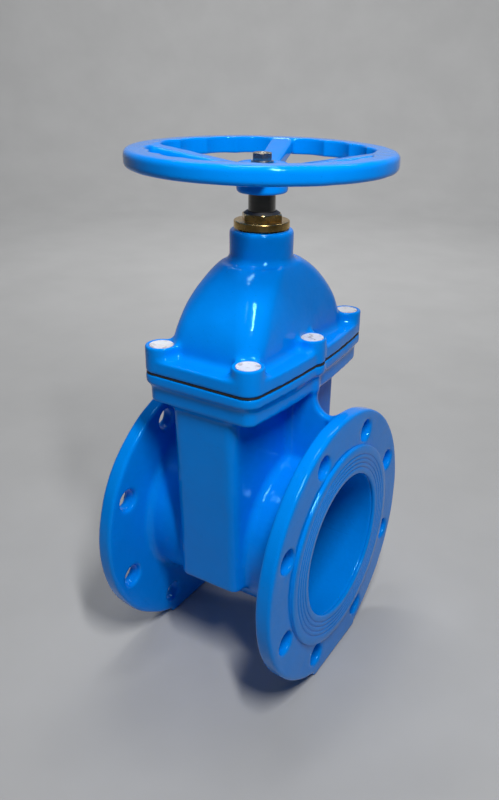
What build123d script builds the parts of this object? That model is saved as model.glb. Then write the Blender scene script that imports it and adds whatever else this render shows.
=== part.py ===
from build123d import *
import os
from math import atan2, cos, degrees, radians, sin

# Resilient-seated gate valve with a non-rising stem and a handwheel, in millimetres.
# Every piece is drawn about the point where the stem axis crosses the pipe axis, with +X along
# the pipe and +Z up the stem. The finished pieces are then lifted onto their feet, so the exported
# origin is on the ground, midway between the flanges.
# The wedge is drawn shut, at the bottom of its travel.

# ---- Driving dimensions ----

# Pipe flanges and port
bore_d = 150.0
face_to_face = 210.0
flange_d = 285.0
flange_rim_t = 16.0
raised_face_d = 211.0
raised_face_t = 3.0
bolt_circle_d = 240.0
bolt_hole_d = 23.0
bolt_holes = 8
gasket_groove_count = 4
gasket_groove_pitch = 4.6
gasket_groove_w = 1.6
gasket_groove_depth = 0.9
gasket_land = 7.0  # from the bore's edge to the first groove
foot_w = 96.0
foot_flat = 3.0  # how much the foot cuts off the flange circle
flange_edge_r = 2.5
flange_root_r = 8.0  # between the pipe neck and the flange's back
raised_edge_r = 0.8
hole_edge_r = 2.0
mouth_edge_r = 1.5
overlap = 1.0  # how far a solid runs into the one that it joins

# Body casting
body_wall = 8.5
neck_wall = 8.0
trunk_t = 72.0
trunk_flare = 6.0  # how much wider the trunk is at the top than at the bottom, each side
trunk_bottom_drop = 31.5  # flat underside below the pipe axis
trunk_corner_r = 10.0
trunk_edge_r = 4.0
skirt_h = 19.0
skirt_inset = 4.5
body_lip_h = 10.0
rib_t = 9.0
rib_edge_r = 17.0
rib_edge_in = 6.5  # the rib's free edge, inboard of the middle boss's outer side
rib_foot_drop = 2.5  # the rib's foot, below the flange's rim

# Wedge pocket and wedge
guide_depth = 12.0  # how far each guide channel goes beyond the bore
guide_drop = 22.0  # how far the channels go below the pipe axis
pocket_half_x = 25.4  # at the pipe axis
pocket_slope = 1.0 / 60.0
pocket_corner_r = 6.0
seal_gap = 0.35
lining_t = 4.0
face_lining_t = 3.0
bead_h = 2.0
bead_w = 9.0
wedge_shoulder_drop = 30.0  # of the wedge's shoulder below the bore's top
wedge_roof_h = 5.0  # of the wedge's top above the bore's top
wedge_top_half_y = 40.0
shoe_bottom_z = -16.0
shoe_top_z = 38.0
shoe_gap = 0.4
tongue_half_x = 9.0
tongue_l = 9.0
tongue_end_gap = 4.0
wedge_hole_gap = 1.5
shoe_side_gap = 0.1  # between the shoe and the lining
lift_over = 3.0  # how far the open wedge clears the bore
lift_end_gap = 2.25  # between the lifted shoe and the bonnet joint

# Stem nut
nut_foot_half_y = 30.0
nut_foot_h = 7.0
nut_half_y = 22.0
nut_half_x = 18.0
nut_above = 27.0
slot_depth = 18.0
slot_gap = 0.2
nut_chamfer = 1.5

# Stem
stem_thread_d = 28.0
stem_journal_d = 26.0
stem_collar_d = 40.6
stem_collar_h = 8.0
stem_square = 19.0
stem_into_wedge = 2.0  # from the stem's tip up from the bore's top
stem_end_drop = 0.5  # of the stem's end below the hub's top
running_gap = 0.05
passage_gap = 1.0

# Bonnet, its flange and bolts
gasket_t = 1.5
gasket_inset = 0.6
bonnet_flange_t = 13.0
corner_bolt_out_x = 11.9  # outboard of the trunk's wide face
mid_bolt_out_x = 22.5
corner_boss_r = 15.2
mid_boss_r = 14.0
side_bulge = 6.5  # of the long flange edge, at its middle
boss_h = 12.0  # above the flange
web_w = 13.0
web_l = 30.0
web_lean = 0.62  # 1 points the web at the stem axis, and less turns it along the pipe
web_drop = 1.0  # of the web below the boss's top
recess_d = 22.4
recess_floor_up = 8.3  # above the bonnet's joint face
dome_half_x = 50.0
dome_inset_y = 4.5  # of the dome's end inside the trunk's bottom half width
dome_sink = 2.0  # of the dome's base below the flange's top
dome_swell = 0.8  # 0.5 is an ellipse, and more is flatter near the neck
dome_corner_r = 20.0
dome_wall = 8.0
neck_d = 61.6
neck_edge_r = 3.0
screw_d = 12.0
screw_head_d = 18.0
screw_head_h = 12.0
screw_engagement = 22.0
screw_end_gap = 2.0
screw_socket_af = 10.0
screw_edge_r = 0.8
hole_gap = 0.75
plug_gap = 0.1
plug_dish = 0.8
plug_sunk = 0.5

# Stem seals, thrust washers and gland
back_seat_gap = 4.0
back_seal_h = 4.0
back_seal_d = 38.0
bush_h = 9.0
bush_d = 36.0
inner_boss_d = 54.0
washer_t = 2.95
washer_gap = 0.1
collar_bore_d = 44.0
collar_to_neck_top = 40.0
inner_boss_drop = 3.0  # of the inner boss's top below the dome's
dome_top_over_collar = 14.0
gland_skirt = 27.0
gland_gap = 1.7
gland_flange_d = 53.2
gland_flange_t = 6.6
gland_hex_af = 35.2
gland_hex_h = 6.7
gland_edge_r = 1.2
gland_hex_turn = 10.0
inner_ring_places = (0.5, 0.82)  # up the gland's skirt
outer_ring_places = (0.16, 0.34)
o_ring_section = 3.5
groove_gap = 0.1  # between an O-ring and the sides of its groove
wiper_d = 35.0
wiper_h = 5.0
wiper_proud = 1.8
wiper_land = 2.0  # flat top left round the stem

# Handwheel and its bolt
hub_over_gland = 19.0
hub_d = 48.6
hub_h = 27.4
wheel_d = 251.2
rim_w = 18.2
rim_h = 16.5
rim_over_hub = 12.6  # rim's top above the hub's top
spokes = 4
spoke_phase = 21.0
spoke_w_hub = 20.0
spoke_w_rim = 25.0
spoke_t = 13.0
spoke_drop = 1.2  # of the spoke's top below the rim's top
spoke_hub_drop = 2.0  # of the spoke's top below the hub's top
spoke_edge_r = 3.0
spoke_clear_angle = 1.0
scallops = 4  # finger hollows between neighbouring spokes
scallop_depth = 5.0
square_gap = 0.05
rim_edge_r = 5.0
hub_edge_r = 3.0
wheel_bolt_d = 10.0
wheel_bolt_af = 17.0
wheel_bolt_head_h = 7.2
wheel_bolt_l = 24.0
wheel_bolt_dish_r = 13.4
wheel_bolt_dish = 1.4
wheel_bolt_flat = 0.5  # between the head's chamfer and its dish
wheel_washer_d = 21.0
wheel_washer_t = 1.6

# ---- Dimensions that follow ----

bore_r = bore_d / 2
wedge_shoulder_z = bore_r - wedge_shoulder_drop
wedge_top_z = bore_r + wedge_roof_h
half_face = face_to_face / 2
raised_back_x = half_face - raised_face_t
flange_back_x = raised_back_x - flange_rim_t
neck_r = bore_r + neck_wall
foot_z = -(flange_d / 2 - foot_flat)

pocket_half_y = bore_r + guide_depth
trunk_half_x = trunk_t / 2
trunk_half_y = pocket_half_y + body_wall
trunk_top_half_y = trunk_half_y + trunk_flare

lift = bore_d + lift_over
joint_z = shoe_top_z + lift + lift_end_gap
bonnet_base_z = joint_z + gasket_t
bonnet_flange_top_z = bonnet_base_z + bonnet_flange_t
boss_top_z = bonnet_flange_top_z + boss_h
recess_floor_z = bonnet_base_z + recess_floor_up
skirt_top_z = joint_z - body_lip_h
skirt_bottom_z = skirt_top_z - skirt_h

nut_top_z = wedge_top_z + nut_above
back_seat_z = nut_top_z + lift + back_seat_gap
collar_floor_z = back_seat_z + back_seal_h + bush_h
collar_z = collar_floor_z + washer_t + running_gap
gland_bottom_z = collar_z + stem_collar_h + running_gap + washer_t
neck_top_z = collar_floor_z + collar_to_neck_top
dome_base_z = bonnet_flange_top_z - dome_sink
dome_top_z = collar_floor_z + dome_top_over_collar
gland_flange_z = neck_top_z + gland_gap
gland_hex_z = gland_flange_z + gland_flange_t
gland_top_z = gland_hex_z + gland_hex_h

stem_r = stem_thread_d / 2
journal_r = stem_journal_d / 2
stem_tip_z = bore_r + stem_into_wedge
hub_z = gland_top_z + hub_over_gland
hub_top_z = hub_z + hub_h
stem_top_z = hub_top_z - stem_end_drop
rim_top_z = hub_top_z + rim_over_hub
rim_z = rim_top_z - rim_h

corner_bolt_x = trunk_half_x + corner_bolt_out_x
corner_bolt_y = trunk_half_y
mid_bolt_x = trunk_half_x + mid_bolt_out_x
corner_bolts = [(sx * corner_bolt_x, sy * corner_bolt_y) for sx in (-1, 1) for sy in (-1, 1)]
mid_bolts = [(-mid_bolt_x, 0), (mid_bolt_x, 0)]
cover_bolts = corner_bolts + mid_bolts

rib_edge_x = mid_bolt_x + mid_boss_r - rib_edge_in
rib_foot_z = flange_d / 2 - rib_foot_drop
rib_arc_z = rib_foot_z + rib_edge_r
tongue_bottom_z = shoe_bottom_z + tongue_end_gap
tongue_top_z = shoe_top_z - tongue_end_gap


def pocket_x(z):
    """Half thickness of the tapered wedge pocket at a height."""
    return pocket_half_x + pocket_slope * z


def ring(r_in, r_out, z_low, z_high):
    """Flat ring about the stem axis."""
    with BuildPart() as made:
        with BuildSketch(Plane.XY.offset(z_low)):
            Circle(r_out)
            Circle(r_in, mode=Mode.SUBTRACT)
        extrude(amount=z_high - z_low)
    return made.part


def o_rings(r_mid, heights):
    """O-rings about the stem axis, one at each height."""
    with BuildPart() as made:
        with BuildSketch(Plane.XZ):
            with Locations(*[(r_mid, z) for z in heights]):
                Circle(o_ring_section / 2)
        revolve(axis=Axis.Z)
    return made.part


def cover_outline(z, inset=0.0):
    """Outline of the bonnet joint: flat ends, bulging sides, round bosses at the bolts."""
    corner_r = corner_boss_r - inset
    edge_x = corner_bolt_x + corner_r
    with BuildSketch(Plane.XY.offset(z)) as outline:
        with BuildLine():
            right = ThreePointArc(
                (edge_x, -corner_bolt_y), (edge_x + side_bulge, 0), (edge_x, corner_bolt_y)
            )
            left = ThreePointArc(
                (-edge_x, corner_bolt_y), (-edge_x - side_bulge, 0), (-edge_x, -corner_bolt_y)
            )
            Line(right @ 1, left @ 0)
            Line(left @ 1, right @ 0)
        make_face()
        Rectangle(2 * corner_bolt_x, 2 * (corner_bolt_y + corner_r))
        with Locations(*corner_bolts):
            Circle(corner_r)
        with Locations(*mid_bolts):
            Circle(mid_boss_r - inset)
    return outline.sketch


def wedge_outline(inset=0.0):
    """Front outline of the wedge: a half round bottom that fits the bore, and a roof."""
    r = bore_r - seal_gap - inset
    with BuildSketch(Plane.YZ) as outline:
        Circle(r)
        Polygon(
            (-r, 0),
            (r, 0),
            (r, wedge_shoulder_z - inset / 2),
            (wedge_top_half_y - inset / 2, wedge_top_z - inset),
            (-wedge_top_half_y + inset / 2, wedge_top_z - inset),
            (-r, wedge_shoulder_z - inset / 2),
            align=None,
        )
    return outline.sketch


def wedge_taper(inset):
    """Side outline of the wedge: it narrows downwards like its pocket."""
    low = -bore_r - overlap
    high = wedge_top_z + overlap
    with BuildSketch(Plane.XZ) as outline:
        Polygon(
            (-pocket_x(low) + inset, low),
            (pocket_x(low) - inset, low),
            (pocket_x(high) - inset, high),
            (-pocket_x(high) + inset, high),
            align=None,
        )
    return outline.sketch


def nut_slot_outline(gap=0.0):
    """T-shaped slot in the wedge's top that holds the stem nut."""
    floor = wedge_top_z - slot_depth
    foot_top = floor + nut_foot_h + gap
    with BuildSketch(Plane.YZ) as outline:
        Polygon(
            (-nut_foot_half_y - gap, floor),
            (nut_foot_half_y + gap, floor),
            (nut_foot_half_y + gap, foot_top),
            (nut_half_y + gap, foot_top),
            (nut_half_y + gap, wedge_top_z + gap),
            (-nut_half_y - gap, wedge_top_z + gap),
            (-nut_half_y - gap, foot_top),
            (-nut_foot_half_y - gap, foot_top),
            align=None,
        )
    return outline.sketch


def dome_half(z, half_base, wall=0.0):
    """Half width of the dome at a height, from its base out to the neck."""
    rise = min(1.0, (z - dome_base_z) / (dome_top_z - wall - dome_base_z))
    swell = max(0.0, 1.0 - rise**2) ** dome_swell
    return neck_d / 2 - wall + (half_base - neck_d / 2) * swell


def dome_levels(wall):
    """Heights of the dome's sections."""
    height = dome_top_z - wall - dome_base_z
    return [dome_base_z + height * share for share in (0.0, 0.25, 0.5, 0.7, 0.85, 0.95)]


def dome_section(z, wall=0.0):
    """Rounded rectangle across the dome at a height."""
    half_x = dome_half(z, dome_half_x, wall)
    half_y = dome_half(z, trunk_half_y - dome_inset_y, wall)
    rise = (z - dome_base_z) / (dome_top_z - wall - dome_base_z)
    corner = dome_corner_r - wall + (neck_d / 2 - dome_corner_r - overlap) * rise
    with BuildSketch(Plane.XY.offset(z)) as section:
        RectangleRounded(2 * half_x, 2 * half_y, corner)
    return section.sketch


# ---- Pipe flange on the +X side, with its raised face, grooves, holes and foot ----

with BuildPart() as pipe_flange:
    with BuildSketch(Plane.YZ.offset(flange_back_x)):
        Circle(flange_d / 2)
        with Locations((0, foot_z / 2)):
            Rectangle(foot_w, -foot_z)
        with Locations((0, foot_z - foot_flat)):
            Rectangle(flange_d, 2 * foot_flat, mode=Mode.SUBTRACT)
    extrude(amount=flange_rim_t)
    fillet(pipe_flange.faces().filter_by(Axis.X).edges(), flange_edge_r)
    with BuildSketch(Plane.YZ.offset(flange_back_x)):
        Circle(neck_r)
    extrude(amount=-2 * flange_root_r)
    circles = pipe_flange.edges().filter_by(GeomType.CIRCLE)
    root = circles.filter_by(lambda e: abs(e.radius - neck_r) < 0.01).sort_by(Axis.X)[-1]
    fillet(root, flange_root_r)
    with BuildSketch(Plane.YZ.offset(raised_back_x)):
        Circle(raised_face_d / 2)
    extrude(amount=raised_face_t)
    fillet(pipe_flange.faces().sort_by(Axis.X)[-1].edges(), raised_edge_r)
    with BuildSketch(Plane.YZ.offset(half_face)):
        Circle(bore_r)
    extrude(amount=-half_face, mode=Mode.SUBTRACT)
    with BuildSketch(Plane.YZ.offset(half_face)):
        with PolarLocations(bolt_circle_d / 2, bolt_holes, start_angle=180 / bolt_holes):
            Circle(bolt_hole_d / 2)
    extrude(amount=-2 * flange_rim_t, mode=Mode.SUBTRACT)
    hole_edges = pipe_flange.edges().filter_by(GeomType.CIRCLE)
    fillet(hole_edges.filter_by(lambda e: abs(e.radius - bolt_hole_d / 2) < 0.01), hole_edge_r)
    circles = pipe_flange.edges().filter_by(GeomType.CIRCLE)
    mouth = circles.filter_by(lambda e: abs(e.radius - bore_r) < 0.01).sort_by(Axis.X)[-1]
    fillet(mouth, mouth_edge_r)
    with BuildSketch(Plane.XY):
        for number in range(gasket_groove_count):
            groove_r = bore_r + gasket_land + number * gasket_groove_pitch
            with Locations((half_face, groove_r)):
                Rectangle(2 * gasket_groove_depth, gasket_groove_w)
    revolve(axis=Axis.X, mode=Mode.SUBTRACT)

# ---- Trunk, and the tapered pocket inside it ----

with BuildPart() as trunk:
    with BuildSketch(Plane.XY.offset(-trunk_bottom_drop)):
        RectangleRounded(trunk_t, 2 * trunk_half_y, trunk_corner_r)
    with BuildSketch(Plane.XY.offset(skirt_top_z)):
        RectangleRounded(trunk_t, 2 * trunk_top_half_y, trunk_corner_r)
    loft(ruled=True)
    fillet(trunk.faces().sort_by(Axis.Z)[0].edges(), trunk_edge_r)

with BuildPart() as pocket:
    with BuildSketch(Plane.XZ):
        Polygon(
            (-pocket_x(-guide_drop), -guide_drop),
            (pocket_x(-guide_drop), -guide_drop),
            (pocket_x(joint_z + overlap), joint_z + overlap),
            (-pocket_x(joint_z + overlap), joint_z + overlap),
            align=None,
        )
    extrude(amount=pocket_half_y, both=True)
    side_edges = pocket.faces().filter_by(Axis.Y).edges()
    fillet(side_edges.filter_by(lambda e: abs(e.tangent_at(0).Z) > 0.5), pocket_corner_r)

# ---- Body ----

with BuildPart() as body:
    add(pipe_flange.part)
    mirror(pipe_flange.part, about=Plane.YZ)
    with BuildSketch(Plane.YZ):
        Circle(neck_r)
    extrude(amount=flange_back_x + overlap, both=True)
    add(trunk.part)
    extrude(cover_outline(skirt_bottom_z, skirt_inset), amount=skirt_h)
    extrude(cover_outline(skirt_top_z), amount=body_lip_h)
    with BuildSketch(Plane.XZ):
        for side in (-1, 1):
            foot_x = side * (flange_back_x + overlap)
            edge_x = side * rib_edge_x
            with BuildLine():
                top = Line((0, skirt_top_z), (edge_x, skirt_top_z))
                drop = Line(top @ 1, (edge_x, rib_arc_z))
                curve = TangentArc(drop @ 1, (edge_x + side * rib_edge_r, rib_foot_z), tangent=(0, -1))
                Polyline(curve @ 1, (foot_x, rib_foot_z), (foot_x, 0), (0, 0), top @ 0)
            make_face()
    extrude(amount=rib_t / 2, both=True)
    with BuildSketch(Plane.YZ):
        Circle(bore_r)
    extrude(amount=half_face, both=True, mode=Mode.SUBTRACT)
    add(pocket.part, mode=Mode.SUBTRACT)
    with BuildSketch(Plane.XY.offset(joint_z)):
        with Locations(*cover_bolts):
            Circle(screw_d / 2 + running_gap)
    extrude(amount=-screw_engagement - screw_end_gap, mode=Mode.SUBTRACT)
body.part.label = "body"

# ---- Bonnet: bolted flange, dome, neck ----

with BuildPart() as bonnet:
    extrude(cover_outline(bonnet_base_z), amount=bonnet_flange_t)
    with BuildSketch(Plane.XY.offset(bonnet_base_z)):
        with Locations(*corner_bolts):
            Circle(corner_boss_r)
        with Locations(*mid_bolts):
            Circle(mid_boss_r)
    extrude(amount=boss_top_z - bonnet_base_z)
    for bolt_x, bolt_y in corner_bolts:
        boss_foot = (bolt_x, bolt_y, bonnet_flange_top_z)
        inward = (-bolt_x, -bolt_y * web_lean, 0)
        with BuildSketch(Plane(origin=boss_foot, x_dir=inward, z_dir=(0, 0, 1))):
            Rectangle(web_l, web_w, align=(Align.MIN, Align.CENTER))
        extrude(amount=boss_h - web_drop)
    loft([dome_section(z) for z in dome_levels(0.0)])
    with BuildSketch(Plane.XY.offset(dome_base_z)):
        Circle(neck_d / 2)
    extrude(amount=neck_top_z - dome_base_z)
    fillet(bonnet.faces().sort_by(Axis.Z)[-1].edges(), neck_edge_r)
    loft([dome_section(z, dome_wall) for z in dome_levels(dome_wall)], mode=Mode.SUBTRACT)
    mouth_depth = bonnet_base_z - dome_base_z
    extrude(dome_section(dome_base_z, dome_wall), amount=mouth_depth, mode=Mode.SUBTRACT)
    with BuildSketch(Plane.XY.offset(back_seat_z)):
        Circle(inner_boss_d / 2)
    extrude(amount=dome_top_z - back_seat_z - inner_boss_drop)
    for radius, low, high in (
        (stem_r + passage_gap, back_seat_z, neck_top_z),
        (back_seal_d / 2, back_seat_z, back_seat_z + back_seal_h),
        (bush_d / 2, back_seat_z, collar_floor_z),
        (collar_bore_d / 2, collar_floor_z, neck_top_z),
    ):
        with BuildSketch(Plane.XY.offset(low)):
            Circle(radius)
        extrude(amount=high - low, mode=Mode.SUBTRACT)
    with BuildSketch(Plane.XY.offset(recess_floor_z)):
        with Locations(*cover_bolts):
            Circle(recess_d / 2)
    extrude(amount=boss_top_z - recess_floor_z, mode=Mode.SUBTRACT)
    with BuildSketch(Plane.XY.offset(bonnet_base_z)):
        with Locations(*cover_bolts):
            Circle(screw_d / 2 + hole_gap)
    extrude(amount=recess_floor_z - bonnet_base_z, mode=Mode.SUBTRACT)
bonnet.part.label = "bonnet"

# ---- Bonnet gasket, screws and the wax plugs over their heads ----

with BuildPart() as bonnet_gasket:
    extrude(cover_outline(joint_z, gasket_inset), amount=gasket_t)
    with BuildSketch(Plane.XY.offset(joint_z)):
        RectangleRounded(2 * (dome_half_x - dome_wall), 2 * pocket_half_y, pocket_corner_r)
        with Locations(*cover_bolts):
            Circle(screw_d / 2 + hole_gap)
    extrude(amount=gasket_t, mode=Mode.SUBTRACT)
bonnet_gasket.part.label = "bonnet_gasket"

with BuildPart() as bonnet_bolts:
    with BuildSketch(Plane.XY.offset(recess_floor_z)):
        with Locations(*cover_bolts):
            Circle(screw_head_d / 2)
    extrude(amount=screw_head_h)
    fillet(bonnet_bolts.faces().group_by(Axis.Z)[-1].edges(), screw_edge_r)
    with BuildSketch(Plane.XY.offset(recess_floor_z)):
        with Locations(*cover_bolts):
            Circle(screw_d / 2)
    extrude(amount=joint_z - screw_engagement - recess_floor_z)
    chamfer(bonnet_bolts.faces().group_by(Axis.Z)[0].edges(), screw_edge_r)
    with BuildSketch(Plane.XY.offset(recess_floor_z + screw_head_h)):
        with Locations(*cover_bolts):
            RegularPolygon(screw_socket_af / 2, 6, major_radius=False)
    extrude(amount=-screw_head_h / 2, mode=Mode.SUBTRACT)
bonnet_bolts.part.label = "bonnet_bolts"

with BuildPart() as bolt_seal_plugs:
    plug_bottom_z = recess_floor_z + screw_head_h + plug_gap
    plug_r = recess_d / 2 - plug_gap
    dish_r = (plug_r**2 + plug_dish**2) / (2 * plug_dish)
    with BuildSketch(Plane.XY.offset(plug_bottom_z)):
        with Locations(*cover_bolts):
            Circle(plug_r)
    extrude(amount=boss_top_z - plug_sunk - plug_bottom_z)
    with Locations(*[(x, y, boss_top_z - plug_sunk - plug_dish + dish_r) for x, y in cover_bolts]):
        Sphere(dish_r, mode=Mode.SUBTRACT)
bolt_seal_plugs.part.label = "bolt_seal_plugs"

# ---- Wedge: iron core, rubber lining, guide shoes, stem nut ----

with BuildPart() as wedge_core:
    extrude(wedge_outline(lining_t), amount=pocket_x(wedge_top_z), both=True)
    extrude(wedge_taper(seal_gap + bead_h + face_lining_t), amount=bore_d, both=True, mode=Mode.INTERSECT)
    with BuildSketch(Plane.XY.offset(tongue_bottom_z)):
        Rectangle(2 * tongue_half_x, 2 * (bore_r + tongue_l))
    extrude(amount=tongue_top_z - tongue_bottom_z)
    extrude(nut_slot_outline(slot_gap), amount=trunk_half_x, both=True, mode=Mode.SUBTRACT)
    with BuildSketch(Plane.XY.offset(-bore_d)):
        Circle(stem_r + wedge_hole_gap)
    extrude(amount=2 * bore_d, mode=Mode.SUBTRACT)
wedge_core.part.label = "wedge_core"

with BuildPart() as face_recess:
    extrude(wedge_outline(bead_w), amount=trunk_half_x, both=True)
    extrude(wedge_taper(seal_gap + bead_h), amount=bore_d, both=True, mode=Mode.SUBTRACT)

with BuildPart() as wedge_lining:
    extrude(wedge_outline(), amount=pocket_x(wedge_top_z), both=True)
    extrude(wedge_taper(seal_gap), amount=bore_d, both=True, mode=Mode.INTERSECT)
    add(face_recess.part, mode=Mode.SUBTRACT)
    extrude(nut_slot_outline(slot_gap), amount=trunk_half_x, both=True, mode=Mode.SUBTRACT)
    with BuildSketch(Plane.XY.offset(-bore_d)):
        Circle(stem_r + wedge_hole_gap)
    extrude(amount=2 * bore_d, mode=Mode.SUBTRACT)
    add(wedge_core.part, mode=Mode.SUBTRACT)
wedge_lining.part.label = "wedge_lining"

with BuildPart() as wedge_guide_shoes:
    shoe_half_x = pocket_x(shoe_bottom_z) - shoe_gap
    shoe_in_y = bore_r - seal_gap + shoe_side_gap
    shoe_out_y = pocket_half_y - shoe_gap
    for side in (-1, 1):
        with BuildSketch(Plane.XY.offset(shoe_bottom_z)):
            with Locations((0, side * (shoe_in_y + shoe_out_y) / 2)):
                Rectangle(2 * shoe_half_x, shoe_out_y - shoe_in_y)
        extrude(amount=shoe_top_z - shoe_bottom_z)
    upright = wedge_guide_shoes.edges().filter_by(Axis.Z)
    fillet(upright.filter_by(lambda e: abs(e.center().Y) > bore_r + overlap), pocket_corner_r)
    with BuildSketch(Plane.XY.offset(tongue_bottom_z - running_gap)):
        Rectangle(2 * (tongue_half_x + running_gap), 2 * (bore_r + tongue_l + running_gap))
    extrude(amount=tongue_top_z - tongue_bottom_z + 2 * running_gap, mode=Mode.SUBTRACT)
wedge_guide_shoes.part.label = "wedge_guide_shoes"

with BuildPart() as stem_nut:
    extrude(nut_slot_outline(), amount=nut_half_x, both=True)
    with BuildSketch(Plane.XY.offset(wedge_top_z)):
        Circle(nut_half_y)
    extrude(amount=nut_above)
    chamfer(stem_nut.faces().sort_by(Axis.Z)[-1].edges(), nut_chamfer)
    with BuildSketch(Plane.XY.offset(wedge_top_z - slot_depth)):
        Circle(stem_r + running_gap)
    extrude(amount=slot_depth + nut_above, mode=Mode.SUBTRACT)
stem_nut.part.label = "stem_nut"

# ---- Stem ----

with BuildPart() as stem:
    for radius, low, high in (
        (stem_r, stem_tip_z, collar_z + overlap),
        (stem_collar_d / 2, collar_z, collar_z + stem_collar_h),
        (journal_r, collar_z, stem_top_z),
    ):
        with BuildSketch(Plane.XY.offset(low)):
            Circle(radius)
        extrude(amount=high - low)
    with BuildSketch(Plane.XY.offset(hub_z)):
        Circle(2 * journal_r)
        Rectangle(stem_square, stem_square, mode=Mode.SUBTRACT)
    extrude(amount=hub_h, mode=Mode.SUBTRACT)
    chamfer(stem.faces().sort_by(Axis.Z)[0].edges(), nut_chamfer)
    with BuildSketch(Plane.XY.offset(stem_top_z)):
        Circle(wheel_bolt_d / 2 + running_gap)
    extrude(amount=-wheel_bolt_l, mode=Mode.SUBTRACT)
stem.part.label = "stem"

# ---- Thrust washers, bush and seals in the bonnet's neck ----

washer_r = collar_bore_d / 2 - washer_gap
lower_washer_top_z = collar_floor_z + washer_t
upper_washer_z = gland_bottom_z - washer_t

lower_thrust_washer = ring(stem_r + passage_gap, washer_r, collar_floor_z, lower_washer_top_z)
lower_thrust_washer.label = "lower_thrust_washer"

upper_thrust_washer = ring(journal_r + passage_gap, washer_r, upper_washer_z, gland_bottom_z)
upper_thrust_washer.label = "upper_thrust_washer"

stem_bush = ring(stem_r + running_gap, bush_d / 2, back_seat_z + back_seal_h, collar_floor_z)
stem_bush.label = "stem_bush"

back_seal_ring = ring(stem_r + running_gap, back_seal_d / 2, back_seat_z, back_seat_z + back_seal_h)
back_seal_ring.label = "back_seal_ring"

# ---- Gland nut with its O-rings and wiper ----

groove_w = o_ring_section + 2 * groove_gap
groove_depth = o_ring_section + 4 * groove_gap
inner_ring_mid = journal_r + running_gap + o_ring_section / 2
outer_ring_mid = collar_bore_d / 2 - o_ring_section / 2
inner_ring_z = [gland_bottom_z + gland_skirt * place for place in inner_ring_places]
outer_ring_z = [gland_bottom_z + gland_skirt * place for place in outer_ring_places]
wiper_floor_z = gland_top_z - wiper_h + wiper_proud

with BuildPart() as gland_nut:
    with BuildSketch(Plane.XY.offset(gland_bottom_z)):
        Circle(collar_bore_d / 2)
    extrude(amount=gland_flange_z - gland_bottom_z)
    with BuildSketch(Plane.XY.offset(gland_flange_z)):
        Circle(gland_flange_d / 2)
    extrude(amount=gland_flange_t)
    fillet(gland_nut.faces().sort_by(Axis.Z)[-1].edges(), gland_edge_r)
    with BuildSketch(Plane.XY.offset(gland_hex_z)):
        RegularPolygon(gland_hex_af / 2, 6, major_radius=False, rotation=gland_hex_turn)
    extrude(amount=gland_hex_h)
    with BuildSketch(Plane.XZ):
        Polygon(
            (gland_hex_af / 2, gland_top_z),
            (gland_hex_af, gland_top_z - gland_hex_af / 4),
            (gland_hex_af, gland_top_z),
            align=None,
        )
    revolve(axis=Axis.Z, mode=Mode.SUBTRACT)
    with BuildSketch(Plane.XY.offset(gland_bottom_z)):
        Circle(journal_r + running_gap)
    extrude(amount=gland_top_z - gland_bottom_z, mode=Mode.SUBTRACT)
    with BuildSketch(Plane.XY.offset(wiper_floor_z)):
        Circle(wiper_d / 2)
    extrude(amount=wiper_h, mode=Mode.SUBTRACT)
    with BuildSketch(Plane.XZ):
        with Locations(*[(inner_ring_mid - groove_gap, z) for z in inner_ring_z]):
            Rectangle(groove_depth, groove_w)
        with Locations(*[(outer_ring_mid + groove_gap, z) for z in outer_ring_z]):
            Rectangle(groove_depth, groove_w)
    revolve(axis=Axis.Z, mode=Mode.SUBTRACT)
gland_nut.part.label = "gland_nut"

gland_inner_o_rings = o_rings(inner_ring_mid, inner_ring_z)
gland_inner_o_rings.label = "gland_inner_o_rings"

gland_outer_o_rings = o_rings(outer_ring_mid, outer_ring_z)
gland_outer_o_rings.label = "gland_outer_o_rings"

with BuildPart() as wiper_ring:
    with BuildSketch(Plane.XY.offset(wiper_floor_z)):
        Circle(wiper_d / 2)
        Circle(journal_r + running_gap, mode=Mode.SUBTRACT)
    extrude(amount=wiper_h)
    outer_lip = wiper_ring.faces().sort_by(Axis.Z)[-1].edges().sort_by(SortBy.RADIUS)[-1]
    chamfer(outer_lip, wiper_proud, wiper_d / 2 - journal_r - wiper_land)
wiper_ring.part.label = "wiper_ring"

# ---- Handwheel: rim with finger hollows, four falling spokes, hub ----

rim_out_r = wheel_d / 2
rim_in_r = rim_out_r - rim_w - scallop_depth

spoke_end_r = rim_out_r - rim_w / 2
spoke_hub_z = hub_top_z - spoke_hub_drop

with BuildPart() as spoke:
    with BuildSketch(Plane.XZ):
        Polygon(
            (0, spoke_hub_z - spoke_t),
            (0, spoke_hub_z),
            (hub_d / 2, spoke_hub_z),
            (rim_in_r, rim_top_z - spoke_drop),
            (spoke_end_r, rim_top_z - spoke_drop),
            (spoke_end_r, rim_z + spoke_drop),
            (rim_in_r, rim_z + spoke_drop),
            (hub_d / 2, spoke_hub_z - spoke_t),
            align=None,
        )
    extrude(amount=spoke_w_rim, both=True)
    with BuildSketch(Plane.XY.offset(hub_z)):
        Polygon(
            (0, -spoke_w_hub / 2),
            (rim_out_r, -spoke_w_rim / 2),
            (rim_out_r, spoke_w_rim / 2),
            (0, spoke_w_hub / 2),
            align=None,
        )
    extrude(amount=rim_top_z - hub_z, mode=Mode.INTERSECT)
    side_edges = spoke.edges().filter_by(lambda e: abs(e.center().Y) > overlap)
    fillet(side_edges.filter_by(lambda e: e.length > rim_in_r / 2), spoke_edge_r)

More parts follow.
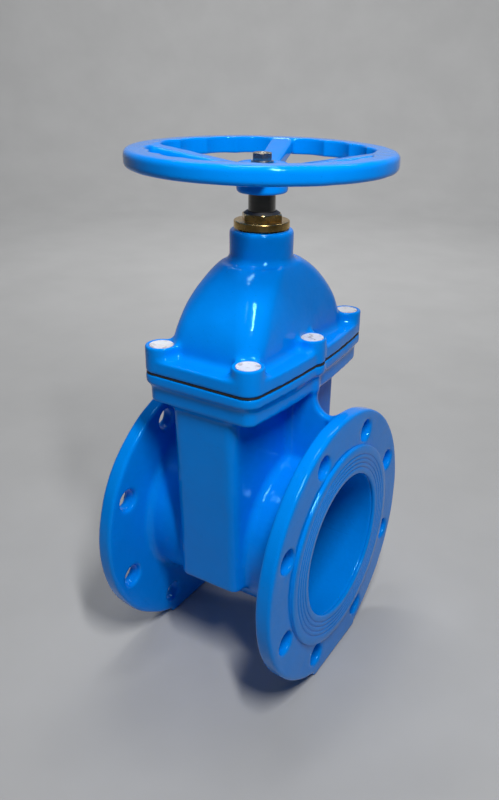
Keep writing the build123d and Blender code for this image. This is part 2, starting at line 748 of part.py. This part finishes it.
with BuildPart() as scallop_cutter:
    sector = 360 / spokes
    spoke_half_angle = degrees(atan2(spoke_w_rim / 2, rim_in_r)) + spoke_clear_angle
    step = (sector - 2 * spoke_half_angle) / scallops
    half_chord = rim_in_r * sin(radians(step / 2))
    cutter_r = (half_chord**2 + scallop_depth**2) / (2 * scallop_depth)
    cutter_at = rim_in_r * cos(radians(step / 2)) + scallop_depth - cutter_r
    with BuildSketch(Plane.XY.offset(rim_z)):
        for quarter in range(spokes):
            for number in range(scallops):
                angle = spoke_phase + quarter * sector + spoke_half_angle + step * (number + 0.5)
                with Locations(Rotation(0, 0, angle) * Pos(cutter_at, 0)):
                    Circle(cutter_r)
        Circle(rim_in_r - rim_w, mode=Mode.SUBTRACT)
    extrude(amount=rim_h)

with BuildPart() as handwheel:
    with BuildSketch(Plane.XY.offset(rim_z)):
        Circle(rim_out_r)
        Circle(rim_in_r, mode=Mode.SUBTRACT)
    extrude(amount=rim_h)
    outer_rim = handwheel.faces().filter_by(Axis.Z)
    fillet([face.outer_wire().edges()[0] for face in outer_rim], rim_edge_r)
    add(scallop_cutter.part, mode=Mode.SUBTRACT)
    with BuildSketch(Plane.XY.offset(hub_z)):
        Circle(hub_d / 2)
    extrude(amount=hub_h)
    hub_edges = handwheel.edges().filter_by(GeomType.CIRCLE)
    fillet(hub_edges.filter_by(lambda e: abs(e.radius - hub_d / 2) < 0.01), hub_edge_r)
    with PolarLocations(0, spokes, start_angle=spoke_phase):
        add(spoke.part)
    with BuildSketch(Plane.XY.offset(hub_z)):
        Rectangle(stem_square + 2 * square_gap, stem_square + 2 * square_gap)
    extrude(amount=hub_h, mode=Mode.SUBTRACT)
handwheel.part.label = "handwheel"

bolt_head_z = hub_top_z + wheel_washer_t
bolt_top_z = bolt_head_z + wheel_bolt_head_h
washer_hole_r = wheel_bolt_d / 2 + hole_gap / 2

handwheel_washer = ring(washer_hole_r, wheel_washer_d / 2, hub_top_z, bolt_head_z)
handwheel_washer.label = "handwheel_washer"

with BuildPart() as handwheel_bolt:
    with BuildSketch(Plane.XY.offset(bolt_head_z)):
        RegularPolygon(wheel_bolt_af / 2, 6, major_radius=False)
    extrude(amount=wheel_bolt_head_h)
    with BuildSketch(Plane.XZ):
        Polygon(
            (wheel_bolt_af / 2 - wheel_bolt_flat, bolt_top_z),
            (wheel_bolt_af, bolt_top_z - wheel_bolt_af / 4),
            (wheel_bolt_af, bolt_top_z),
            align=None,
        )
    revolve(axis=Axis.Z, mode=Mode.SUBTRACT)
    with Locations((0, 0, bolt_top_z - wheel_bolt_dish + wheel_bolt_dish_r)):
        Sphere(wheel_bolt_dish_r, mode=Mode.SUBTRACT)
    with BuildSketch(Plane.XY.offset(bolt_head_z)):
        Circle(wheel_bolt_d / 2)
    extrude(amount=-wheel_bolt_l)
handwheel_bolt.part.label = "handwheel_bolt"

# ---- Export ----

os.makedirs("parts", exist_ok=True)
finished = [
    body.part,
    bonnet.part,
    bonnet_gasket.part,
    bonnet_bolts.part,
    bolt_seal_plugs.part,
    wedge_core.part,
    wedge_lining.part,
    wedge_guide_shoes.part,
    stem_nut.part,
    stem.part,
    lower_thrust_washer,
    upper_thrust_washer,
    stem_bush,
    back_seal_ring,
    gland_nut.part,
    gland_inner_o_rings,
    gland_outer_o_rings,
    wiper_ring.part,
    handwheel.part,
    handwheel_washer,
    handwheel_bolt.part,
]
for piece in finished:
    on_feet = piece.moved(Location((0, 0, -foot_z)))
    on_feet.label = piece.label
    export_step(on_feet, f"parts/{piece.label}.step")
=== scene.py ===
"""Looks of the gate valve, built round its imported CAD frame. Metres, +Z up, +X along the pipe."""
import math

import bmesh
import bpy
import numpy as np
from mathutils import Matrix, Vector


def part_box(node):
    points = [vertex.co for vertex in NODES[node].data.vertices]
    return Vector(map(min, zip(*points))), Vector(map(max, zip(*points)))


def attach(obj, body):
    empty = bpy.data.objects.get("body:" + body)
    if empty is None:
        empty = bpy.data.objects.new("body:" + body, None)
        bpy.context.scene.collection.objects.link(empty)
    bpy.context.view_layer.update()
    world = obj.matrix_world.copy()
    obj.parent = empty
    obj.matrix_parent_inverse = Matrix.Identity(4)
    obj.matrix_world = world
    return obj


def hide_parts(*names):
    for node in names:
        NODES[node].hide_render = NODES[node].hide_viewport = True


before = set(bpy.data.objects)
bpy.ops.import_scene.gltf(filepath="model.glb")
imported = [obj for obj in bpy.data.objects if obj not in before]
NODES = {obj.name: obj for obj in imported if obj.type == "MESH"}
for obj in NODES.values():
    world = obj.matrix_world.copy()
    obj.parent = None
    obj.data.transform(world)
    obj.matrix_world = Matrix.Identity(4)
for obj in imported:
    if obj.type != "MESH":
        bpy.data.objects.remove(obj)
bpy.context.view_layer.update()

MM = 0.001

# ---- Places taken from the frame, and the CAD's own sizes of its feet and raised faces ----

BODY_LOW, BODY_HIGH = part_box("body")
FOOT_Z = BODY_LOW.z
FACE_X = BODY_HIGH.x
FLANGE_R = BODY_HIGH.y
FOOT_FLAT = 3.0 * MM
PIPE_Z = FOOT_Z + FLANGE_R - FOOT_FLAT
RAISED_T = 3.0 * MM
BORE_R = 75.0 * MM
RAISED_R = 105.5 * MM


# ---- Camera, lights, floor ----

def make_camera():
    azimuth, elevation, roll = (math.radians(a) for a in (29.98, 21.31, 1.43))
    aim_x, aim_above_pipe, distance = 0.0325, 0.1976, 0.7414
    target = Vector((aim_x, 0.0, aim_above_pipe + PIPE_Z))
    back = Vector((
        math.sin(azimuth) * math.cos(elevation),
        -math.cos(azimuth) * math.cos(elevation),
        math.sin(elevation),
    ))
    right = Vector((0, 0, 1)).cross(back).normalized()
    up = back.cross(right)
    turned_right = right * math.cos(roll) + up * math.sin(roll)
    turned_up = up * math.cos(roll) - right * math.sin(roll)
    data = bpy.data.cameras.new("camera")
    data.sensor_width = 36.0
    data.lens = 33.81
    data.shift_x = -0.0485
    data.shift_y = -0.0596
    data.clip_start = 0.01
    data.clip_end = 50.0
    camera = bpy.data.objects.new("camera", data)
    bpy.context.scene.collection.objects.link(camera)
    turn = Matrix((turned_right, turned_up, back)).transposed()
    camera.matrix_world = Matrix.Translation(target + back * distance) @ turn.to_4x4()
    bpy.context.scene.camera = camera


def area_light(name, place, target, size_x, size_y, power):
    """Soft lamp at a place measured from the pipe axis."""
    data = bpy.data.lights.new(name, "AREA")
    data.shape = "RECTANGLE"
    data.size = size_x
    data.size_y = size_y
    data.energy = power
    lamp = bpy.data.objects.new(name, data)
    bpy.context.scene.collection.objects.link(lamp)
    place = Vector(place) + Vector((0, 0, PIPE_Z))
    target = Vector(target) + Vector((0, 0, PIPE_Z))
    lamp.location = place
    lamp.rotation_euler = (target - place).to_track_quat("-Z", "Y").to_euler()
    lamp.visible_camera = False


def make_studio():
    """A dim room: one tall narrow lamp at the front right, softer ones above, and a lit backdrop."""
    world = bpy.data.worlds.new("studio")
    bpy.context.scene.world = world
    world.use_nodes = True
    background = world.node_tree.nodes["Background"]
    background.inputs["Color"].default_value = (0.60, 0.80, 1.0, 1)
    background.inputs["Strength"].default_value = 0.05
    wheel = (0, 0, 0.30)
    body = (0, 0, 0.05)
    area_light("key", (0.44, -0.42, 0.97), wheel, 0.06, 0.42, 9.6)
    area_light("front", (0.12, -0.62, 1.30), body, 0.05, 0.45, 0.5)
    area_light("ceiling", (-0.2, 0.1, 1.5), body, 0.5, 0.12, 3.5)
    area_light("backdrop", (-0.6, 1.1, 1.9), (-1.3, 2.4, 0.2), 1.8, 0.6, 44.0)
    bpy.context.scene.view_settings.view_transform = "Standard"


def make_floor():
    """A round pale floor that curves up into a backdrop."""
    floor_r, bend_r, wall_h = 2.4, 1.0, 3.0
    bend_steps, turn_steps = 12, 96
    profile = [(0.0, 0.0), (floor_r, 0.0)]
    for step in range(1, bend_steps + 1):
        angle = math.radians(90) * step / bend_steps
        profile.append((floor_r + bend_r * math.sin(angle), bend_r * (1 - math.cos(angle))))
    profile.append((floor_r + bend_r, wall_h))
    mesh = lathe("floor", profile, turn_steps, centre=(0, 0, FOOT_Z), closed=False)
    floor = bpy.data.objects.new("floor", mesh)
    bpy.context.scene.collection.objects.link(floor)
    shader = Shader("pale_floor")
    patch = shader.noise(6.0, detail=4.0)
    darker, paler = (0.46, 0.46, 0.46, 1), (0.49, 0.49, 0.49, 1)
    shader.link(shader.ramp(patch, (0.35, darker), (0.7, paler)), "Base Color")
    shader.set("Roughness", 0.85)
    mesh.materials.append(shader.material)


# ---- Materials ----

class Shader:
    """A Principled material with short calls for the nodes that these finishes share."""

    def __init__(self, name):
        self.material = bpy.data.materials.new(name)
        self.material.use_nodes = True
        self.tree = self.material.node_tree
        self.principled = self.tree.nodes["Principled BSDF"]
        self.place = self.tree.nodes.new("ShaderNodeTexCoord").outputs["Object"]

    def new(self, kind, **values):
        node = self.tree.nodes.new(kind)
        for key, value in values.items():
            setattr(node, key, value)
        return node

    def set(self, socket, value):
        self.principled.inputs[socket].default_value = value

    def link(self, output, socket):
        self.tree.links.new(output, self.principled.inputs[socket])

    def noise(self, scale, detail=3.0, roughness=0.55, stretch=(1, 1, 1)):
        """Noise in object space, with scale waves to a metre before the stretch."""
        mapping = self.new("ShaderNodeMapping")
        mapping.inputs["Scale"].default_value = stretch
        self.tree.links.new(self.place, mapping.inputs["Vector"])
        node = self.new("ShaderNodeTexNoise")
        node.inputs["Scale"].default_value = scale
        node.inputs["Detail"].default_value = detail
        node.inputs["Roughness"].default_value = roughness
        node.inputs["Distortion"].default_value = 0.0
        self.tree.links.new(mapping.outputs["Vector"], node.inputs["Vector"])
        return node.outputs["Fac"]

    def ramp(self, value, low, high):
        """Colour from a value: low and high are each (position, colour)."""
        node = self.new("ShaderNodeValToRGB")
        node.color_ramp.elements[0].position = low[0]
        node.color_ramp.elements[0].color = low[1]
        node.color_ramp.elements[1].position = high[0]
        node.color_ramp.elements[1].color = high[1]
        self.tree.links.new(value, node.inputs["Fac"])
        return node.outputs["Color"]

    def spread(self, value, low, high, from_low=0.3, from_high=0.7):
        """Maps from_low..from_high, the middle of a noise's range, to low..high."""
        node = self.new("ShaderNodeMapRange")
        node.inputs["From Min"].default_value = from_low
        node.inputs["From Max"].default_value = from_high
        node.inputs["To Min"].default_value = low
        node.inputs["To Max"].default_value = high
        self.tree.links.new(value, node.inputs["Value"])
        return node.outputs["Result"]

    def mix(self, share, first, second):
        """Blends two colours, each a tuple or a node's output."""
        node = self.new("ShaderNodeMix", data_type="RGBA")
        self.tree.links.new(share, node.inputs["Factor"])
        sockets = [i for i in node.inputs if i.type == "RGBA"]
        for colour, socket in zip((first, second), sockets):
            if isinstance(colour, tuple):
                socket.default_value = colour
            else:
                self.tree.links.new(colour, socket)
        return [o for o in node.outputs if o.type == "RGBA"][0]

    def bump(self, *layers):
        """Stacks bumps: each layer is (height output, distance in metres)."""
        normal = None
        for height, distance in layers:
            node = self.new("ShaderNodeBump")
            node.inputs["Strength"].default_value = 1.0
            node.inputs["Distance"].default_value = distance
            self.tree.links.new(height, node.inputs["Height"])
            if normal is not None:
                self.tree.links.new(normal, node.inputs["Normal"])
            normal = node.outputs["Normal"]
        self.link(normal, "Normal")

    def edge(self, low, high):
        """Rises from 0 to 1 on convex edges, where a coat is thin."""
        geometry = self.new("ShaderNodeNewGeometry")
        return self.spread(geometry.outputs["Pointiness"], 0.0, 1.0, low, high)


def blue_epoxy(name, peel=1.0):
    """Glossy fusion-bonded coat with orange peel, paler on edges, with a few dark flecks."""
    deep_blue, light_blue = (0.0, 0.230, 0.82, 1), (0.0, 0.262, 0.92, 1)
    edge_blue, fleck_blue = (0.0, 0.36, 0.97, 1), (0.0, 0.10, 0.42, 1)
    fleck_share = 0.35
    shader = Shader(name)
    cloud = shader.noise(9.0, detail=4.0)
    blue = shader.ramp(cloud, (0.3, deep_blue), (0.7, light_blue))
    thin = shader.mix(shader.edge(0.53, 0.62), blue, edge_blue)
    fleck = shader.spread(shader.noise(420.0, detail=2.0), 0.0, fleck_share, 0.70, 0.74)
    shader.link(shader.mix(fleck, thin, fleck_blue), "Base Color")
    shader.link(shader.spread(shader.noise(34.0, detail=5.0), 0.06, 0.15), "Roughness")
    shader.set("Specular IOR Level", 0.34)
    shader.set("Specular Tint", (0.2, 0.7, 1.0, 1))
    shader.bump(
        (shader.noise(55.0, detail=2.0), 0.45 * MM * peel),
        (shader.noise(210.0, detail=2.0), 0.10 * MM * peel),
        (shader.noise(900.0, detail=2.0), 0.012 * MM * peel),
    )
    return shader.material


def black_rubber(name):
    black, grey_black = (0.011, 0.011, 0.012, 1), (0.02, 0.02, 0.021, 1)
    shader = Shader(name)
    shader.link(shader.ramp(shader.noise(60.0), (0.3, black), (0.7, grey_black)), "Base Color")
    shader.link(shader.spread(shader.noise(120.0), 0.48, 0.68), "Roughness")
    shader.bump((shader.noise(700.0), 0.03 * MM))
    return shader.material


def brass(name):
    dull, bright = (0.50, 0.31, 0.09, 1), (0.74, 0.50, 0.18, 1)
    shader = Shader(name)
    stain = shader.noise(70.0, detail=5.0, roughness=0.6)
    tone = shader.ramp(stain, (0.3, dull), (0.65, bright))
    shader.link(tone, "Base Color")
    shader.set("Metallic", 1.0)
    shader.link(shader.spread(shader.noise(90.0, detail=4.0), 0.16, 0.34), "Roughness")
    turned = shader.noise(1500.0, detail=2.0, stretch=(0.12, 0.12, 1.0))
    shader.bump((turned, 0.01 * MM), (shader.noise(300.0), 0.03 * MM))
    return shader.material


def turned_steel(name, dark):
    """Polished stainless steel with faint rings round the shaft. A smaller dark scales the base colour
    down: a painted dark reflection standing in for the dim surroundings that the polished stem mirrors.
    """
    shader = Shader(name)
    tone = shader.noise(400.0, stretch=(0.05, 0.05, 1.0))
    # base colour scaled down by dark: painted dark reflection of the stem's dim surroundings, not a
    # darker steel
    low = tuple(c * dark for c in (0.50, 0.48, 0.46)) + (1,)
    high = tuple(c * dark for c in (0.60, 0.58, 0.55)) + (1,)
    shader.link(shader.ramp(tone, (0.3, low), (0.7, high)), "Base Color")
    shader.set("Metallic", 1.0)
    shader.link(shader.spread(tone, 0.08, 0.13), "Roughness")
    rings = shader.noise(1800.0, detail=2.0, stretch=(0.03, 0.03, 1.0))
    shader.bump((rings, 0.004 * MM))
    return shader.material


def zinc_steel(name):
    stained, clean = (0.24, 0.22, 0.19, 1), (0.50, 0.47, 0.42, 1)
    shader = Shader(name)
    patch = shader.noise(160.0, detail=5.0, roughness=0.65)
    tone = shader.ramp(patch, (0.3, stained), (0.66, clean))
    shader.link(tone, "Base Color")
    shader.set("Metallic", 1.0)
    shader.link(shader.spread(patch, 0.40, 0.22), "Roughness")
    shader.bump((shader.noise(900.0), 0.02 * MM))
    return shader.material


def wax(name):
    grimy, white = (0.50, 0.47, 0.45, 1), (0.76, 0.76, 0.78, 1)
    shader = Shader(name)
    patch = shader.noise(130.0, detail=4.0, roughness=0.6)
    shader.link(shader.ramp(patch, (0.34, grimy), (0.52, white)), "Base Color")
    shader.link(shader.spread(patch, 0.22, 0.40), "Roughness")
    shader.set("Subsurface Weight", 0.25)
    shader.set("Subsurface Radius", (4.0 * MM, 3.0 * MM, 2.0 * MM))
    shader.bump((shader.noise(260.0), 0.18 * MM))
    return shader.material


def nylon(name):
    darker, cream = (0.62, 0.58, 0.46, 1), (0.72, 0.68, 0.56, 1)
    shader = Shader(name)
    shader.link(shader.ramp(shader.noise(80.0), (0.3, darker), (0.7, cream)), "Base Color")
    shader.link(shader.spread(shader.noise(200.0), 0.36, 0.5), "Roughness")
    shader.bump((shader.noise(800.0), 0.02 * MM))
    return shader.material


def cast_iron(name):
    dark, grey = (0.06, 0.06, 0.062, 1), (0.12, 0.118, 0.115, 1)
    shader = Shader(name)
    grain = shader.noise(500.0, detail=4.0, roughness=0.7)
    shader.link(shader.ramp(grain, (0.3, dark), (0.7, grey)), "Base Color")
    shader.set("Metallic", 0.7)
    shader.link(shader.spread(grain, 0.45, 0.65), "Roughness")
    shader.bump((grain, 0.12 * MM))
    return shader.material


def bronze(name):
    brown, bright = (0.42, 0.22, 0.09, 1), (0.62, 0.36, 0.17, 1)
    shader = Shader(name)
    tone = shader.noise(260.0, detail=4.0, stretch=(1, 1, 0.2))
    shader.link(shader.ramp(tone, (0.3, brown), (0.7, bright)), "Base Color")
    shader.set("Metallic", 1.0)
    shader.link(shader.spread(tone, 0.28, 0.42), "Roughness")
    shader.bump((tone, 0.02 * MM))
    return shader.material


# ---- Mesh helpers ----

def new_piece(name, mesh, body, slot, material, *replaced):
    piece = bpy.data.objects.new(name, mesh)
    bpy.context.scene.collection.objects.link(piece)
    mesh.materials.clear()
    mesh.materials.append(material)
    for polygon in mesh.polygons:
        polygon.material_index = 0
    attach(piece, body)
    if replaced:
        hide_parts(*replaced)
    return piece


def node_mesh(node):
    """A welded copy of a CAD node's mesh."""
    weld_gap = 0.001 * MM
    work = bmesh.new()
    work.from_mesh(NODES[node].data)
    bmesh.ops.remove_doubles(work, verts=work.verts, dist=weld_gap)
    made = bpy.data.meshes.new(node + "_welded")
    work.to_mesh(made)
    work.free()
    return made


def with_modifiers(mesh, *modifiers):
    """Applies modifiers, given as (type, settings), to a mesh and returns the result."""
    holder = bpy.data.objects.new("holder", mesh)
    bpy.context.scene.collection.objects.link(holder)
    for number, (kind, settings) in enumerate(modifiers):
        modifier = holder.modifiers.new(str(number), kind)
        for key, value in settings.items():
            setattr(modifier, key, value)
    graph = bpy.context.evaluated_depsgraph_get()
    made = bpy.data.meshes.new_from_object(holder.evaluated_get(graph))
    bpy.data.objects.remove(holder)
    return made


def cast_surface(mesh, voxel, fillet, smooth, keep_share):
    """Turns sharp CAD faces into one cast skin, with inside corners filled and edges softened.

    The skin is grown by fillet in two steps and shrunk by the same two, which leaves the inside
    corners filled. It is smoothed that many times and cut down to keep_share of its faces.
    """
    remesh = ("REMESH", {"mode": "VOXEL", "voxel_size": voxel, "use_smooth_shade": True})
    steps = [remesh]
    for strength in (fillet / 2, fillet / 2, -fillet / 2, -fillet / 2):
        steps += [("DISPLACE", {"strength": strength, "mid_level": 0.0}), remesh]
    steps += [("SMOOTH", {"factor": 0.5, "iterations": smooth}), ("DECIMATE", {"ratio": keep_share})]
    made = with_modifiers(mesh, *steps)
    made.shade_smooth()
    return made


def ripple(mesh, height, length, seed):
    """Moves a skin along its normals by slow random waves, as a cast surface has.

    Each wave is 0.6 to 1.6 times length long, and height is the root mean square of their sum.
    """
    waves = 24
    draw = np.random.default_rng(seed)
    points = points_of(mesh)
    normals = np.empty(len(mesh.vertices) * 3)
    mesh.vertex_normals.foreach_get("vector", normals)
    wave = np.zeros(len(points))
    for _ in range(waves):
        direction = draw.normal(size=3)
        direction *= 2 * math.pi / (length * np.linalg.norm(direction) * draw.uniform(0.6, 1.6))
        wave += np.sin(points @ direction + draw.uniform(0, 2 * math.pi))
    points += normals.reshape(-1, 3) * (wave * height / math.sqrt(waves / 2))[:, None]
    set_points(mesh, points)


def points_of(mesh):
    points = np.empty(len(mesh.vertices) * 3)
    mesh.vertices.foreach_get("co", points)
    return points.reshape(-1, 3)


def set_points(mesh, points):
    mesh.vertices.foreach_set("co", points.ravel())
    mesh.update()


def lathe(name, profile, steps, axis="Z", centre=(0, 0, 0), closed=True):
    """Turns a profile of (radius, along) points round an axis through centre."""
    angles = np.arange(steps) * 2 * math.pi / steps
    profile = np.array(profile)
    count = len(profile)
    radius = profile[:, 0][:, None]
    along = np.repeat(profile[:, 1][:, None], steps, axis=1)
    first = radius * np.cos(angles)
    second = radius * np.sin(angles)
    stacked = {"Z": (first, second, along), "X": (along, first, second)}[axis]
    points = np.stack(stacked, axis=-1).reshape(-1, 3) + np.array(centre)
    faces = []
    for ring in range(count if closed else count - 1):
        follow = (ring + 1) % count
        for step in range(steps):
            ahead = (step + 1) % steps
            faces.append((
                ring * steps + step,
                ring * steps + ahead,
                follow * steps + ahead,
                follow * steps + step,
            ))
    mesh = bpy.data.meshes.new(name)
    mesh.from_pydata(points.tolist(), [], faces)
    work = bmesh.new()
    work.from_mesh(mesh)
    bmesh.ops.recalc_face_normals(work, faces=work.faces)
    work.to_mesh(mesh)
    work.free()
    mesh.shade_smooth()
    return mesh


def refined(node, bevel):
    """A welded copy of a CAD node, its flat faces merged and its edges rounded."""
    flat_angle, edge_angle = math.radians(0.6), math.radians(28.0)
    flat_mesh = node_mesh(node)
    work = bmesh.new()
    work.from_mesh(flat_mesh)
    bmesh.ops.dissolve_limit(
        work, angle_limit=flat_angle, verts=work.verts, edges=work.edges, delimit=set()
    )
    work.to_mesh(flat_mesh)
    work.free()
    made = with_modifiers(
        flat_mesh,
        ("BEVEL", {
            "width": bevel,
            "segments": 3,
            "limit_method": "ANGLE",
            "angle_limit": edge_angle,
            "harden_normals": False,
            "use_clamp_overlap": True,
        }),
        ("WEIGHTED_NORMAL", {"keep_sharp": True}),
    )
    made.shade_smooth()
    return made


# ---- Castings ----

def add_casting_body(material):
    """The body up to just under its raised faces, which are turned pieces of their own."""
    sunk = 0.1 * MM
    mesh = node_mesh("body")
    points = points_of(mesh)
    flange_front = FACE_X - RAISED_T - sunk
    points[:, 0] = points[:, 0].clip(-flange_front, flange_front)
    set_points(mesh, points)
    skin = cast_surface(mesh, voxel=1.3 * MM, fillet=6.0 * MM, smooth=2, keep_share=0.36)
    ripple(skin, height=0.10 * MM, length=34 * MM, seed=1)
    new_piece("body_casting", skin, "housing", "blue_epoxy", material, "body")


def add_raised_face(side, material):
    """A turned ring on the flange, with concentric grooves that the coat has made shallow and round."""
    first_groove, groove_pitch, grooves = 7.0 * MM, 4.6 * MM, 4
    groove_half, groove_depth = 0.8 * MM, 0.9 * MM
    # across one groove: (share of its half width, share of its depth)
    groove_shape = ((-1.6, 0), (-1.0, 0.12), (-0.6, 0.8), (0, 1), (0.6, 0.8), (1.0, 0.12), (1.6, 0))
    turn_steps = 192
    outline = [(BORE_R, 0.0), (BORE_R, RAISED_T - 1.5 * MM)]
    outline.append((BORE_R + 0.5 * MM, RAISED_T - 0.5 * MM))
    outline.append((BORE_R + 1.5 * MM, RAISED_T))
    for number in range(grooves):
        middle = BORE_R + first_groove + number * groove_pitch
        for share, depth in groove_shape:
            outline.append((middle + share * groove_half, RAISED_T - depth * groove_depth))
    outline.append((RAISED_R - 1.2 * MM, RAISED_T))
    outline.append((RAISED_R - 0.4 * MM, RAISED_T - 0.4 * MM))
    outline.append((RAISED_R, RAISED_T - 1.2 * MM))
    outline.append((RAISED_R, 0.3 * MM))
    outline.append((RAISED_R + 1.0 * MM, -0.4 * MM))
    outline.append((BORE_R + 0.2 * MM, -0.4 * MM))
    base = FACE_X - RAISED_T
    profile = [(radius, side * (base + along)) for radius, along in outline]
    name = "outlet_raised_face" if side > 0 else "inlet_raised_face"
    mesh = lathe(name, profile, turn_steps, axis="X", centre=(0, 0, PIPE_Z))
    new_piece(name, mesh, "housing", "blue_epoxy", material)


def add_casting_bonnet(material):
    mesh = node_mesh("bonnet")
    skin = cast_surface(mesh, voxel=1.1 * MM, fillet=4.4 * MM, smooth=3, keep_share=0.5)
    ripple(skin, height=0.10 * MM, length=30 * MM, seed=2)
    new_piece("bonnet_casting", skin, "housing", "blue_epoxy", material, "bonnet")


def add_casting_wheel(material):
    mesh = node_mesh("handwheel")
    skin = cast_surface(mesh, voxel=0.9 * MM, fillet=1.6 * MM, smooth=1, keep_share=0.4)
    ripple(skin, height=0.06 * MM, length=26 * MM, seed=3)
    new_piece("wheel_casting", skin, "stem", "blue_epoxy", material, "handwheel")


# ---- Assembly of the looks ----

make_camera()
make_studio()
make_floor()

epoxy = blue_epoxy("blue_epoxy")
epoxy_wheel = blue_epoxy("blue_epoxy_wheel", peel=0.6)
rubber = black_rubber("black_rubber")
brass_turned = brass("brass_turned")
# the stem's base colour is darkened: painted dark reflection
steel_painted_dark_reflection = turned_steel("stem_steel", 0.55)
zinc = zinc_steel("zinc_steel")
wax_white = wax("wax_white")
nylon_cream = nylon("nylon_cream")
iron = cast_iron("cast_iron")
bronze_turned = bronze("bronze_turned")

add_casting_body(epoxy)
add_raised_face(-1, epoxy)
add_raised_face(1, epoxy)
add_casting_bonnet(epoxy)
add_casting_wheel(epoxy_wheel)

# (CAD node, piece, edge radius, body, slot, material)
small_parts = [
    ("gland_nut", "gland_turned", 0.5 * MM, "housing", "gland_brass", brass_turned),
    ("wiper_ring", "wiper_lip", 0.5 * MM, "housing", "black_rubber", rubber),
    ("bolt_seal_plugs", "wax_plugs", 0.35 * MM, "housing", "seal_wax", wax_white),
    ("handwheel_bolt", "wheel_bolt", 0.45 * MM, "stem", "zinc_steel", zinc),
    ("handwheel_washer", "wheel_washer", 0.3 * MM, "stem", "zinc_steel", zinc),
    ("wedge_lining", "wedge_rubber", 0.8 * MM, "wedge", "black_rubber", rubber),
    ("wedge_guide_shoes", "wedge_shoes", 0.6 * MM, "wedge", "nylon", nylon_cream),
    ("stem_nut", "stem_nut_turned", 0.5 * MM, "wedge", "gland_brass", brass_turned),
    ("stem", "stem_turned", 0.4 * MM, "stem", "stem_stainless", steel_painted_dark_reflection),
]
for node, name, bevel, body, slot, material in small_parts:
    new_piece(name, refined(node, bevel), body, slot, material, node)

# pieces hidden inside, or too thin to shape, keep their CAD mesh
CAD_FINISH = {
    "bonnet_gasket": rubber,
    "bonnet_bolts": zinc,
    "wedge_core": iron,
    "lower_thrust_washer": bronze_turned,
    "upper_thrust_washer": bronze_turned,
    "stem_bush": nylon_cream,
    "back_seal_ring": rubber,
    "gland_inner_o_rings": rubber,
    "gland_outer_o_rings": rubber,
}
for node, material in CAD_FINISH.items():
    mesh = NODES[node].data
    mesh.materials.clear()
    mesh.materials.append(material)
